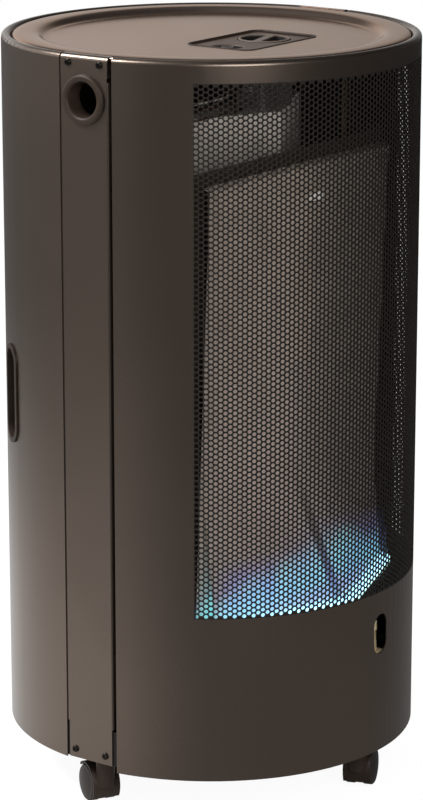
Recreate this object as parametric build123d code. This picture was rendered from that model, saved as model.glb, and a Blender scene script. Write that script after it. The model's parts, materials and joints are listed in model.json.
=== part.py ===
from build123d import *
from math import asin, atan2, cos, degrees, hypot, radians, sin, sqrt
import os

# A cylindrical blue-flame gas heater on four casters. Millimetres, +Z up, floor at Z = 0,
# front towards -Y. Bearings are degrees round the housing: 0 at the front, 90 on +X.
# Two folded pillars carry a base tray, a dished lid, a fixed front shell and a rear cover
# that lifts off to let the gas bottle in.

# --- driving dimensions -------------------------------------------------------------------
# the housing closes round the bottle with the fire space in front of it
bottle_radius = 150.0
bottle_play = 1.0
fire_depth = 115.6             # divider to the inside of the front sheet
shell_height = 718.0
caster_height = 48.0           # floor to the lower edge of the front shell
sheet = 1.2                    # housing sheet
edge_roll = 4.8                # outer radius of the rolled top edges
roll_width = 9.7               # how far a rolled top edge reaches inwards
roll_lip = 7.0                 # straight drop of the rolled edge's free end
slide_gap = 0.4                # radial play between the rear cover and what it slides over
pillar_half_width = 28.6
pillar_return = 14.0           # depth of a pillar's folded front edge
pillar_bend = 1.4
pillar_foot = 6.0              # pillar's lower end above the shell's edge
lap_width = 16.0               # strip behind the rear cover's edge
front_seam = 4.0
rear_seam = 1.0
seam_fold = 7.0                # depth of the front shell's folded side edges
tab_bearing = 30.0             # of the rear cover's tabs, from the back
tab_width = 10.0               # in degrees
tab_rise, tab_drop = 14.0, 12.0  # over and under the base rim's top
lap_step = 1.6                 # pillar's side to the lap's start
ledge_reach = 9.0              # pillar's ledge under the lid
cover_raise = 4.5              # rear cover's lower edge above the front shell's

# front window and its perforated sheet
window_bearing = 59.0
window_low = 169.0             # above the shell's lower edge
window_border = 21.0           # plain sheet between the window and the top
hole_pitch = 30.0              # the holes are drawn enlarged: 5.4 pitch and 4.2 wide for real
hole_width = 23.0
slot_width = 23.0              # pilot viewing slot
slot_height = 42.0
slot_centre = 124.5

# base
base_sheet = 1.5
rim_height = 36.0
seat_inset = 42.0              # bottle's side to the edge of the raised seat under its foot ring
step_rise = 4.0
air_slot = (14.0, 44.0)        # width and length of the combustion air slots
air_slot_inset = 58.0          # from the shell to the slots' middle
air_slot_bearings = (-48, -28, 28, 48)

# lid
lid_gap = 1.0                  # groove between the lid and the rolled edges
lid_skirt = 18.0
lid_rim_width = 31.3
lid_tray_depth = 6.0
lid_crown = 1.6                # crown above the lid's outer and inner edges
lid_shoulder = 8.0             # outer rounding of the rim
lid_slope = 12.0               # width of the slope from the rim to the tray
lid_bend = 2.4
lid_cove = 14.0                # soft bends above and below the slope
lid_ear = 24.0                 # half width of the pad that meets a pillar

# controls: a moulded plate in the lid's opening, a well for the knob, a finger dish
recess_size = (124.0, 77.0)    # the lid's opening
recess_y = -50.0
recess_corner = 12.0
panel_groove = 2.5             # open line round the plate
panel_sunk = 1.5               # plate's face under the tray's
panel_wall = 2.0
panel_flange = 8.0             # reach of the flange under the lid
well_depth = 18.5
well_gap = 1.0
knob_inset = 39.0              # opening's ends to the knob's middle and to the igniter's
piezo_inset = 22.0
control_shift = 2.0            # both stand this far behind the opening's middle
knob_radius = 26.0
knob_proud = 0.8
knob_rim = 2.5
knob_bar = 8.0                 # width of the grip bar between the finger scoops
knob_turn = 15.0               # grip bar's direction at rest, from +X
scoop_depth = 6.5
knob_press = 4.5
knob_play = 1.0                # left under a fully pressed knob
spindle_radius = 4.0
spindle_hold = 3.0             # how far the spindle stands in the knob at rest
dish_radius = 17.0
dish_floor = 12.0
dish_depth = 6.0
piezo_radius = 6.5
piezo_wall = 3.0
piezo_travel = 5.0
piezo_stand = 5.5
piezo_collar = 10.8
piezo_body = 40.0
finger_round, finger_dip = 14.0, 1.0
control_fit = 0.15

# inner panels
bulkhead_drop = 113.0          # shell's top to the divider's
bulkhead_bend = 3.0
inner_sheet = 1.0
reflector_margin = 20.0        # between the reflector's edge and the shell
reflector_low = 142.0
reflector_drop = 15.0          # divider's top to the reflector's
reflector_lean = 17.5          # how far the top stands forward of the foot
reflector_foot = 10.0
reflector_hem = 8.0
nose_depth = 66.8              # the point stands this far in front of the divider
nose_end_depth = 19.8
nose_margin = 7.0              # reflector's edge to the nose's end
nose_low = 150.0
nose_high = 288.0
shield_gap = 8.0               # behind the divider
shield_half = 110.0
shield_sweep = 53.0
shield_depth = 80.0
shield_height = 67.0
shield_foot_x = 60.0
hook_x, hook_drop, hook_width = 23.0, 36.0, 24.0

# burner and gas train
burner_gap = 36.8              # front sheet to the burner's point
burner_sweep = 51.0
burner_margin = 22.2           # burner's end to the shell
burner_low = 120.0
burner_top = 147.0
burner_width = 19.0
burner_shoulder = 3.0          # bevel along the top edges
burner_wall = 1.2
port_pitch = 16.0
port_size = (3.0, 9.0)
venturi_radius = 9.0
venturi_length = 40.0
pipe_radius = 4.0
pilot_pipe_radius = 2.0
lead_radius = 1.2
lead_spacing = 8.0
pipe_clear = 18.0              # bottle to the pipes beside it
pipe_bend = 14.0
valve_size = (54.0, 36.0)      # width and depth of the cast block
valve_boss = 13.0              # radius of the boss that meets the pan
boss_height = 9.0
valve_height = 36.8
spindle_engage = 13.0          # how deep the spindle stands in the boss
valve_outlet = 9.0
magnet_length = 16.0
supply_rise = 44.0             # pipes come forward this far before they turn to the middle
supply_drop = 22.0             # clearance of the lowest run under the injector
pilot_gap = 14.8               # front sheet to the pilot's middle
pilot_x, probe_x, electrode_x = 8.0, -0.6, -9.0
inlet_radius = 4.5
inlet_length = 30.0

# side fittings
grommet_drop = 42.5            # shell's top to the hole's middle
grommet_bore = 17.0
grommet_radius = 24.5
grommet_stand = 4.5
grommet_wall = 2.5
grommet_depth = 14.0
grip_bearing = 127.0
grip_z = 360.0
grip_size = (38.0, 102.0)
grip_rim = 5.0
grip_stand = 2.0
screw_offset = 18.7
screw_low, screw_drop = 15.0, 8.0
screw_head = (3.5, 2.2)        # radius and height
screw_radius = 1.9
screw_reach = 12.0             # depth of the screws' bores behind the pillar's face
catch_low, catch_drop = 121.7, 132.2
catch_slot = 10.2
catch_tab = 8.0
catch_inset = 4.0              # fold's edge to the middle of its tabs

# casters
caster_inset = 26.0            # shell to the swivel pins
caster_trail = 18.0
wheel_radius = 19.0
wheel_width = 11.0
wheel_gap = 7.0
wheel_crown = 2.5              # dome on a wheel's outer face
hood_skirt = 7.0               # hood's lower edge behind the wheels, over the floor
hood_wall = 2.0
hood_clear = 1.2
hood_front, hood_rear = 14.0, 8.0  # hood's edges from the axle: over the wheels, and behind them
pin_radius = 5.0
pin_fit = 0.1
axle_radius = 3.0
caster_bearings = {"front": 0, "right": 90, "back": 180, "left": 270}
caster_trails = {"front": 20, "right": -105, "back": -160, "left": 60}  # rest directions, from +X

# --- derived places -----------------------------------------------------------------------
def chord(y):
    """Half width of the housing's inside at a depth y."""
    return sqrt(inner_radius**2 - y**2)


shell_low = caster_height
shell_top = caster_height + shell_height
inner_radius = bottle_radius + bottle_play + fire_depth / 2
shell_radius = inner_radius + sheet
window_high = shell_height - window_border
roll_inner = shell_radius - roll_width
web_out = sqrt(shell_radius**2 - pillar_half_width**2)
web_in = web_out - sheet
lap_radius = inner_radius - slide_gap - sheet / 2
rim_radius = inner_radius - slide_gap
base_low = shell_low + pillar_foot
base_floor = base_low + base_sheet
rim_top = base_low + rim_height
lid_radius = roll_inner - lid_gap
lid_low = shell_top - 2 - lid_skirt
tray_z = shell_top - lid_tray_depth
step_radius = bottle_radius - seat_inset
knob_x = recess_size[0] / 2 - knob_inset
piezo_x = piezo_inset - recess_size[0] / 2
knob_y = recess_y + control_shift
panel_face = tray_z - panel_sunk
recess_floor = panel_face - well_depth
panel_under = recess_floor - panel_wall
dish_z = panel_face - dish_depth
front_edge = 90 - degrees(asin((pillar_half_width + front_seam) / shell_radius))
rear_edge = 90 + degrees(asin((pillar_half_width + rear_seam) / shell_radius))
lid_tray_radius = lid_radius - lid_rim_width
caster_radius = shell_radius - caster_inset
bottle_y = inner_radius - bottle_play - bottle_radius
pipe_side = bottle_radius + pipe_clear

# inside, measured from the divider's front face, the front sheet or the shell's top
bulkhead_y = fire_depth - inner_radius
bulkhead_back = bulkhead_y + sheet
bulkhead_top = shell_height - bulkhead_drop
reflector_top = bulkhead_top - reflector_drop
hook_z = reflector_top - hook_drop
reflector_half = chord(bulkhead_y - reflector_lean) - reflector_margin
nose_apex_y = bulkhead_y - nose_depth
nose_end_y = bulkhead_y - nose_end_depth
nose_half = reflector_half - nose_margin
burner_apex_y = burner_gap - inner_radius
burner_end_y = burner_apex_y + burner_sweep
burner_half = chord(burner_end_y) - burner_margin
pilot_y = pilot_gap - inner_radius
shield_apex_y = bulkhead_back + shield_gap
shield_end_y = shield_apex_y + shield_sweep
shield_back_y = shield_apex_y + shield_depth
grommet_z = shell_height - grommet_drop
screw_heights = (screw_low, shell_height - screw_drop)
catch_heights = (catch_low, shell_height - catch_drop)
knob_low = recess_floor + knob_play + knob_press
knob_high = panel_face + knob_proud
spindle_top = knob_low + spindle_hold
spindle_low = panel_under - spindle_engage
valve_high = panel_under - boss_height
valve_low = valve_high - valve_height
shield_top = valve_low - shell_low
shield_low = shield_top - shield_height
valve_middle = (valve_high + valve_low) / 2
magnet_end = knob_x - valve_size[0] / 2 - magnet_length
pilot_deck = shell_low + slot_centre - 24
hood_radius = wheel_radius + hood_clear + hood_wall
hood_top = wheel_radius + hood_radius
pin_low = wheel_radius + sqrt((wheel_radius + hood_clear)**2 - (caster_trail - pin_radius - 2)**2) + 1
boss_top = base_low - 2.5


def up(z):
    """Height over the floor of a height measured from the shell's lower edge."""
    return shell_low + z


def polar(radius, bearing):
    angle = radians(bearing)
    return radius * sin(angle), -radius * cos(angle)


def facing(bearing, z=0.0):
    """Frame on the housing's axis whose +X looks out along a bearing."""
    return Pos(0, 0, z) * Rot(0, 0, bearing - 90)


def folded(points, bend, thickness=sheet):
    """Section of a bent sheet: its centre line, with one bend radius or one for each corner."""
    return trace(FilletPolyline(*points, radius=bend), line_width=thickness)


def raise_section(section, low, high):
    return Pos(0, 0, low) * extrude(section, high - low)


def across(section, half_width):
    """Extrude a (y, z) section along X, evenly about the middle."""
    return extrude(Plane.YZ * section, half_width, both=True)


def sector(section, start, end):
    """Revolve an (r, z) section from one bearing to another."""
    return Rot(0, 0, start - 90) * revolve(Plane.XZ * section, Axis.Z, end - start)


def block(x, y, z):
    """Box between pairs of limits."""
    size = [abs(b - a) for a, b in (x, y, z)]
    return Pos((x[0] + x[1]) / 2, (y[0] + y[1]) / 2, (z[0] + z[1]) / 2) * Box(*size)


def rod(radius, start, end):
    """Round bar between two points."""
    a, b = Vector(*start), Vector(*end)
    return extrude(Plane(a, z_dir=b - a) * Circle(radius), (b - a).length)


def tube_run(points, radius, bend=pipe_bend):
    """Solid pipe along straight runs joined by round bends."""
    path = FilletPolyline(*points, radius=bend)
    return sweep(Plane(path @ 0, z_dir=path % 0) * Circle(radius), path=path)


def both_sides(part):
    return part + mirror(part, about=Plane.YZ)


# --- housing ------------------------------------------------------------------------------
def rolled_edge(low):
    """Wall section from a lower edge up to the rolled top and its inner lip."""
    wall = shell_radius - sheet / 2
    lip = roll_inner + sheet / 2
    top = shell_top - sheet / 2
    points = [(wall, low), (wall, top), (lip, top), (lip, top - edge_roll - roll_lip)]
    return folded(points, (wall - lip) / 2 - 0.01)


def front_shell():
    shell = sector(rolled_edge(shell_low), -front_edge, front_edge)
    window = sector(Pos(shell_radius, 0) * Rectangle(4 * sheet, window_high - window_low,
                                                     align=(Align.CENTER, Align.MIN)),
                    -window_bearing, window_bearing)
    slot = facing(0, up(slot_centre)) * Rot(0, 90, 0) * extrude(
        Pos(0, 0, inner_radius - 5) * SlotOverall(slot_height, slot_width), 10)
    edge_y = pillar_half_width + front_seam
    fold_out = sqrt((shell_radius - sheet / 2)**2 - edge_y**2)
    fold = block((fold_out - seam_fold, fold_out), (-edge_y - sheet, -edge_y - 0.1),
                 (rim_top + 2, lid_low - 2))
    catch_x = fold_out - catch_inset
    tabs = [block((catch_x - sheet / 2, catch_x + sheet / 2),
                  (-edge_y - sheet / 2, -edge_y + front_seam + sheet + 6),
                  (up(z) - catch_slot / 2, up(z) - catch_slot / 2 + catch_tab)) for z in catch_heights]
    return shell - Pos(0, 0, up(window_low)) * window - slot + both_sides(fold + tabs)


def front_grille():
    """Perforated sheet in the window: staggered six-sided holes, cut square to the curve."""
    height = window_high - window_low
    sheet_part = sector(Pos(shell_radius - sheet / 2, up(window_low) + height / 2)
                        * Rectangle(sheet, height), -window_bearing, window_bearing)
    step = degrees(hole_pitch * sqrt(3) / 2 / shell_radius)
    margin = hole_width / 2 + 2
    columns = int((window_bearing - degrees(margin / shell_radius)) / step)
    rows = int((height / 2 - margin) / hole_pitch)
    cutter = Rot(0, 90, 0) * extrude(Pos(0, 0, inner_radius - 2)
                                     * RegularPolygon(hole_width / 2, 6, major_radius=False), sheet + 4)
    holes = []
    for column in range(-columns, columns + 1):
        shift = 0.5 * (column % 2)
        for row in range(-rows, rows + 1 - column % 2):
            z = up(window_low) + height / 2 + (row + shift) * hole_pitch
            holes.append(facing(column * step, z) * cutter)
    return sheet_part - holes


def pillar():
    """Right pillar: folded front edge, lap strip behind the rear cover, ledge for the lid."""
    web = web_out - sheet / 2
    side = pillar_half_width - sheet / 2
    lap_start = degrees(asin((pillar_half_width + lap_step) / lap_radius))
    lap_end = lap_start + degrees(lap_width / lap_radius)
    front = folded([(web - pillar_return, -side), (web, -side), (web, 0)], pillar_bend)
    rear = folded([(web, 0), (web, side - sheet), polar(lap_radius, 90 + lap_start),
                   polar(lap_radius, 90 + lap_end)], 1.0)
    low, ledge_top = base_low, lid_low
    plate = block((web_in, web_out), (-side - sheet / 2 + pillar_bend, side - 2),
                  (low, shell_top - edge_roll))
    top = extrude(Plane.XZ * folded([(web, ledge_top), (web, shell_top - sheet / 2),
                                     (roll_inner - 2, shell_top - sheet / 2)], edge_roll - sheet / 2),
                  roll_inner * sin(radians(rear_edge - 90)) - slide_gap, both=True)
    top -= Cylinder(roll_inner, 4 * shell_top)
    ledge = block((lid_radius - ledge_reach, web_in), (-lid_ear, lid_ear), (ledge_top - sheet, ledge_top))
    body = plate + top + ledge
    body += raise_section(front, rim_top + 2, lid_low - 4)
    body += raise_section(rear, rim_top + 2, shell_top - edge_roll - 2)
    grommet_hole = Rot(0, 90, 0) * Cylinder(grommet_bore + grommet_wall + 0.2, 8)
    grommet_hole = Pos(web, 0, up(grommet_z)) * grommet_hole
    slots = [block((web - 7.6, web - 2.6), (-pillar_half_width - 1, -pillar_half_width + sheet + 1),
                   (up(z) - catch_slot / 2, up(z) + catch_slot / 2)) for z in catch_heights]
    return body - grommet_hole - slots - screw_bores()


def screw_places():
    return [(side * screw_offset, up(z)) for side in (-1, 1) for z in screw_heights]


def screw_bores():
    return [rod(screw_radius + 0.1, (web_out - screw_reach, y, z), (web_out + 2, y, z))
            for y, z in screw_places()]


def pillar_screws():
    """Pan-head screws that hold base and lid to the right pillar."""
    radius, height = screw_head
    screws = []
    for y, z in screw_places():
        head = fillet(Cylinder(radius, height).edges().sort_by(Axis.Z)[-1], height * 0.6)
        recess = Pos(0, 0, height / 2) * (Box(3.6, 0.8, 1.4) + Box(0.8, 3.6, 1.4))
        screw = Pos(0, 0, height / 2) * head - Pos(0, 0, height / 2) * recess
        shank = Pos(0, 0, -2.9) * Cylinder(screw_radius, 6)
        screws.append(Pos(web_out, y, z) * Rot(0, 90, 0) * (screw + shank))
    return screws


def rear_cover():
    """Lift-off cover: it sits over the base rim on two Z-tabs, its top lip behind the laps."""
    shell = sector(rolled_edge(shell_low + cover_raise), rear_edge, 360 - rear_edge)
    tab_out = inner_radius + 0.2
    tab_in = rim_radius - base_sheet - 1.4
    outer = tab_out - sheet / 2
    tab = folded([(outer, rim_top + tab_rise), (outer, rim_top + sheet / 2),
                  (tab_in, rim_top + sheet / 2), (tab_in, rim_top - tab_drop)], 0.8)
    tabs = [sector(tab, bearing - tab_width / 2, bearing + tab_width / 2)
            for bearing in (180 - tab_bearing, 180 + tab_bearing)]
    cut = obround_through(grip_size[0] - grip_rim, grip_size[1] - grip_rim, inner_radius - 3,
                          shell_radius + 3)
    return shell + tabs - [facing(side * grip_bearing, up(grip_z)) * cut for side in (-1, 1)]


def obround_through(width, height, near, far):
    """Upright obround bar along +X between two radii."""
    return Rot(0, 90, 0) * Pos(0, 0, near) * extrude(SlotOverall(height, width), far - near)


def grip(side):
    """Hand-grip liner: a flange outside the cover and a rounded sleeve through it."""
    width, height = grip_size
    hole = obround_through(width - 2 * grip_rim, height - 2 * grip_rim, inner_radius - 40, shell_radius + 9)
    flange = obround_through(width, height, inner_radius - 40, shell_radius + 9)
    flange &= Cylinder(shell_radius + grip_stand, 2 * height) - Cylinder(shell_radius + 0.03, 2 * height)
    sleeve = obround_through(width - grip_rim - 0.6, height - grip_rim - 0.6, inner_radius - 40,
                             shell_radius + 9)
    sleeve &= Cylinder(shell_radius + 1, 2 * height) - Cylinder(roll_inner, 2 * height)
    liner = flange + sleeve - hole
    return facing(side * grip_bearing, up(grip_z)) * liner


def grommet():
    """Rounded ring in the right pillar's lifting hole, with its sleeve and snap lip."""
    back = web_in - grommet_depth
    sleeve = grommet_bore + grommet_wall
    face = web_out + grommet_stand
    ring = make_face(Polyline((back, grommet_bore), (face, grommet_bore), (face, grommet_radius),
                              (web_out, grommet_radius), (web_out, sleeve), (web_in, sleeve),
                              (web_in - 0.4, sleeve + 1.2), (web_in - 4, sleeve), (back, sleeve),
                              close=True))
    corners = ring.vertices().group_by(Axis.X)[-1]
    ring = fillet(corners, (grommet_radius - grommet_bore) * 0.42)
    return Pos(0, 0, up(grommet_z)) * revolve(Plane.XZ * ring, Axis.X)


# --- base and lid -------------------------------------------------------------------------
def flatted_disc(radius, flat):
    """Round outline with flats where the pillars stand."""
    return Circle(radius) & Rectangle(2 * flat, 2 * radius + 2)


def base_tray():
    """Pressed tray with an upturned rim, a raised bottle seat and air slots at the front."""
    outer = raise_section(flatted_disc(rim_radius, web_in), base_low, rim_top)
    inner = raise_section(flatted_disc(rim_radius - base_sheet, web_in - base_sheet), base_floor,
                          rim_top + 1)
    seat = Pos(0, bottle_y, 0)
    cone = extrude(Circle(step_radius + step_rise), step_rise, taper=45)
    tray = outer - inner + seat * Pos(0, 0, base_floor) * cone - seat * Pos(0, 0, base_low) * cone
    cuts = [facing(b) * Pos(shell_radius - air_slot_inset, 0, base_low)
            * extrude(SlotOverall(air_slot[1], air_slot[0]), 12, both=True) for b in air_slot_bearings]
    cuts += [Pos(x, y, base_low) * Cylinder(pin_radius + 0.1, 10) for x, y in caster_places().values()]
    for side in (Rot(0, 0, 0), Rot(0, 0, 180)):
        cuts += [side * bore for bore in screw_bores()]
    return tray - cuts


def lid():
    """Dished lid: skirt, crowned rim, sloping step and flat tray with the control opening."""
    wall = lid_radius - sheet / 2
    high = shell_top - sheet / 2
    step = lid_tray_radius
    points = [(wall, lid_low), (wall, high - lid_crown), (wall - lid_shoulder, high),
              (step + lid_slope, high - lid_crown), (step, tray_z - sheet / 2), (0, tray_z - sheet / 2)]
    top = revolve(Plane.XZ * folded(points, [lid_bend, lid_cove, lid_cove, lid_cove]), Axis.Z)
    ear_in = sqrt(wall**2 - lid_ear**2)
    ear = folded([(ear_in, -lid_ear + 0.6), (web_in - sheet / 2, -lid_ear + 0.6),
                  (web_in - sheet / 2, lid_ear - 0.6), (ear_in, lid_ear - 0.6)], lid_bend)
    ear = raise_section(ear, lid_low, tray_z - 1)
    opening = raise_section(Pos(0, recess_y) * RectangleRounded(*recess_size, recess_corner),
                            tray_z - 2 * sheet, tray_z + sheet)
    body = top + both_sides(ear) - opening
    for side in (Rot(0, 0, 0), Rot(0, 0, 180)):
        body -= [side * bore for bore in screw_bores()]
    return body


def control_panel():
    """Moulded plate framed by the lid's opening, with the knob's well and the igniter's finger dish."""
    under = tray_z - sheet
    wide, deep = recess_size
    face = RectangleRounded(wide - 2 * panel_groove, deep - 2 * panel_groove, recess_corner - panel_groove)
    flange = RectangleRounded(wide + 2 * panel_flange, deep + 2 * panel_flange,
                              recess_corner + panel_flange)
    plate = raise_section(face, under - panel_wall, panel_face)
    plate = fillet(plate.edges().group_by(Axis.Z)[-1], 0.8)
    body = Pos(0, recess_y) * (plate + raise_section(flange, under - panel_wall, under))
    bowl = Circle(knob_radius + well_gap + panel_wall)
    body += Pos(knob_x, knob_y) * raise_section(bowl, panel_under, under)
    body += Pos(piezo_x, knob_y) * dished(panel_wall)
    well = raise_section(Circle(knob_radius + well_gap), recess_floor, tray_z)
    spindle_hole = Pos(0, 0, recess_floor) * Cylinder(spindle_radius + 1.5, 3 * panel_wall)
    piezo_hole = Pos(0, 0, dish_z) * Cylinder(piezo_radius + piezo_wall + control_fit, 3 * panel_wall)
    body -= Pos(knob_x, knob_y) * (well + spindle_hole)
    return body - Pos(piezo_x, knob_y) * (dished() + piezo_hole)


def dished(wall=0.0):
    """Finger dish, a cup with sloping sides, or the bowl that is a wall thicker."""
    depth = dish_depth + wall
    return Pos(0, 0, panel_face - depth / 2) * Cone(dish_floor + wall, dish_radius + wall, depth)


# --- controls -----------------------------------------------------------------------------

def d_section(radius, flat=0.75):
    """Round section with one flat, for the spindle and the knob's socket."""
    return Circle(radius) - Pos(radius * (1 + flat), 0) * Rectangle(2 * radius, 4 * radius)


def valve_spindle():
    shoulder = knob_low - knob_press - 0.5
    shaft = raise_section(Circle(spindle_radius), spindle_low, shoulder)
    shaft += raise_section(d_section(spindle_radius), shoulder - 1, spindle_top)
    return Pos(knob_x, knob_y) * Rot(0, 0, knob_turn) * shaft


def control_knob():
    """Flush round knob: two finger scoops with a grip bar between them, hollow and socketed below."""
    disc = raise_section(Circle(knob_radius), 0, knob_high - knob_low)
    disc = fillet(disc.edges().sort_by(Axis.Z)[-1], 1.2)
    scoops = Circle(knob_radius - knob_rim) - Rectangle(2 * knob_radius, knob_bar)
    scoops = fillet(scoops.vertices(), 3.0)
    scoops = Pos(0, 0, knob_high - knob_low) * extrude(scoops, -scoop_depth, taper=15)
    hollow = raise_section(Circle(knob_radius - knob_rim) - Circle(spindle_radius + 3), -1, 3)
    socket = raise_section(d_section(spindle_radius + pin_fit), -1, spindle_hold + knob_press + 0.6)
    knob = disc - scoops - hollow - socket
    return Pos(knob_x, knob_y, knob_low) * Rot(0, 0, knob_turn) * knob


def piezo_igniter():
    """Threaded igniter barrel, held in the finger dish by its collar and the nut below."""
    outside = Circle(piezo_radius + piezo_wall)
    barrel = raise_section(outside, dish_z - piezo_body, dish_z + 0.5)
    collar = raise_section(Circle(piezo_collar), dish_z, dish_z + 1.0)
    collar = chamfer(collar.edges().sort_by(Axis.Z)[-1], 0.5)
    nut = raise_section(RegularPolygon(piezo_radius + 7, 6), dish_z - panel_wall - 5, dish_z - panel_wall)
    tip = raise_section(Circle(2.4), dish_z - piezo_body - 1.5, dish_z - piezo_body)
    well = raise_section(Circle(piezo_radius + control_fit), dish_z - piezo_travel - 6, dish_z + 10)
    return Pos(piezo_x, knob_y) * (barrel + collar + nut + tip - well)


def piezo_button():
    top = dish_z + piezo_stand
    button = raise_section(Circle(piezo_radius), dish_z - 3, top)
    button = fillet(button.edges().sort_by(Axis.Z)[-1], 1.0)
    finger = Pos(0, 0, top + finger_round - finger_dip) * Sphere(finger_round)
    return Pos(piezo_x, knob_y) * (button - finger)


def gas_valve():
    """Cast valve block: boss up to the pan, magnet housing, outlet, pilot port and hose tail."""
    length, width = valve_size
    middle = valve_middle
    cast = fillet(Box(length, width, valve_high - valve_low).edges().filter_by(Axis.Z), 5)
    body = Pos(knob_x, knob_y, middle) * cast
    body += Pos(knob_x, knob_y) * raise_section(Circle(valve_boss), valve_high - 1, panel_under)
    body += rod(9, (knob_x - length / 2 + 1, knob_y, middle), (magnet_end + 4, knob_y, middle))
    body += rod(5, (magnet_end + 5, knob_y, middle), (magnet_end, knob_y, middle))
    outlet_end = knob_x + length / 2 + valve_outlet
    body += rod(7, (knob_x + length / 2 - 1, knob_y, middle), (outlet_end, knob_y, middle))
    tail_start = knob_y + width / 2
    body += rod(8, (knob_x, tail_start - 1, middle), (knob_x, tail_start + 8, middle))
    tail_end = tail_start + 8 + inlet_length
    body += rod(inlet_radius, (knob_x, tail_start + 7, middle), (knob_x, tail_end, middle))
    well = raise_section(Circle(spindle_radius + pin_fit), spindle_low, recess_floor + 5)
    well = Pos(knob_x, knob_y) * well
    bore = rod(inlet_radius - 1.6, (knob_x, tail_start + 9, middle), (knob_x, tail_end + 1, middle))
    return body - well - bore


# --- inner panels -------------------------------------------------------------------------
def bulkhead():
    """Divider between fire and bottle, folded back at both ends to meet the pillars."""
    y = bulkhead_y + sheet / 2
    wing_x = web_out - pillar_return + 3
    wing_y = -pillar_half_width - sheet / 2 - 0.05
    edge_x = sqrt((inner_radius - 1.5)**2 - (bulkhead_y - sheet)**2)
    points = [(-wing_x, wing_y), (-edge_x, y), (edge_x, y), (wing_x, wing_y)]
    plate = raise_section(folded(points, bulkhead_bend), base_floor, up(bulkhead_top))
    foot = block((-edge_x + 20, edge_x - 20), (y - 14, y), (base_floor, base_floor + sheet))
    hook = across(folded([(y, up(hook_z)), (hook_front(), up(hook_z)), (hook_front(), up(hook_z) + 8)], 1.0),
                  hook_width / 2)
    ports = [rod(radius + 1.5, (x, y - 20, z), (x, y + 3, z)) for x, z, radius in pipe_crossings()]
    return plate + foot + Pos(hook_x, 0, 0) * hook - ports


def reflector_y(z):
    """Centre plane of the leaning reflector at a height above the shell's lower edge."""
    foot = bulkhead_y - inner_sheet / 2
    rise = z - reflector_low - reflector_foot
    return foot - reflector_lean * max(0.0, rise) / (reflector_top - reflector_low - reflector_foot)


def hook_front():
    return reflector_y(hook_z) - inner_sheet / 2 - 1.2


def reflector():
    """Leaning plate behind the flames, with the pyramid nose that spreads them to both sides."""
    foot = bulkhead_y - inner_sheet / 2
    top_y = reflector_y(reflector_top)
    plate = across(folded([(foot, up(reflector_low)), (foot, up(reflector_low + reflector_foot)),
                           (top_y, up(reflector_top)), (top_y + reflector_hem, up(reflector_top) + 3)],
                          0.9, inner_sheet), reflector_half)
    slot = block((hook_x - hook_width / 2 - 1, hook_x + hook_width / 2 + 1), (top_y - 5, bulkhead_y + 1),
                 (up(hook_z) - 2, up(hook_z) + 2))
    wall = 1.3
    nose = wedge() - Pos(0, wall, -wall) * wedge()
    return plate + nose - slot


def wedge():
    """Solid pyramid nose: a pointed foot in plan that fades into the plate above."""
    low, high = up(nose_low), up(nose_high)
    back = reflector_y(nose_low) + 0.2
    ridge = reflector_y(nose_high)
    apex = (0, nose_apex_y, low)
    ends = [(side * nose_half, nose_end_y, low) for side in (-1, 1)]
    rear = [(side * nose_half, back, low) for side in (-1, 1)]
    heads = [(side * nose_half, ridge, high) for side in (-1, 1)]
    rings = [[apex, ends[1], rear[1], rear[0], ends[0]], [apex, heads[0], heads[1]],
             [rear[0], rear[1], heads[1], heads[0]]]
    rings += [[apex, ends[k], heads[k]] for k in (0, 1)] + [[ends[k], rear[k], heads[k]] for k in (0, 1)]
    return Solid(Shell([make_face(Polyline(*ring, close=True)).face() for ring in rings]))


def valve_shield():
    """V-nosed heat shield under the valve, on two feet behind the divider."""
    half, apex, end = shield_half, shield_apex_y, shield_end_y
    bent = folded([(-half, end), (0, apex), (half, end)], 3.0)
    plate = raise_section(bent, up(shield_low), up(shield_top))
    deck = make_face(Polyline((-half, end), (0, apex), (half, end), (half, shield_back_y),
                              (-half, shield_back_y), close=True))
    deck = raise_section(deck, up(shield_top) - sheet, up(shield_top))
    foot_end = apex + (end - apex) * shield_foot_x / half
    foot_z = up(shield_low) + 8
    foot = across(folded([(bulkhead_back + sheet / 2, foot_z - 16), (bulkhead_back + sheet / 2, foot_z),
                          (foot_end, foot_z)], 1.5), 10)
    return plate + deck + both_sides(Pos(shield_foot_x, 0, 0) * foot)


# --- burner and gas train -----------------------------------------------------------------
def arm_angle():
    return degrees(atan2(burner_end_y - burner_apex_y, burner_half))


def chevron(width, low, high, bevel, reach):
    """Two bars mitred at the point, bevelled along the top; reach is each one's length."""
    half = width / 2
    section = make_face(Polyline((-half, low), (half, low), (half, high - bevel), (half - bevel, high),
                                 (bevel - half, high), (-half, high - bevel), close=True))
    bar = Pos(-width, 0, 0) * extrude(Plane.YZ * section, reach + width)
    arm = Pos(0, burner_apex_y, 0) * Rot(0, 0, arm_angle()) * bar
    arm &= block((0, 2 * reach), (-2 * reach, 2 * reach), (low - 1, high + 1))
    return arm + mirror(arm, about=Plane.YZ)


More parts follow.
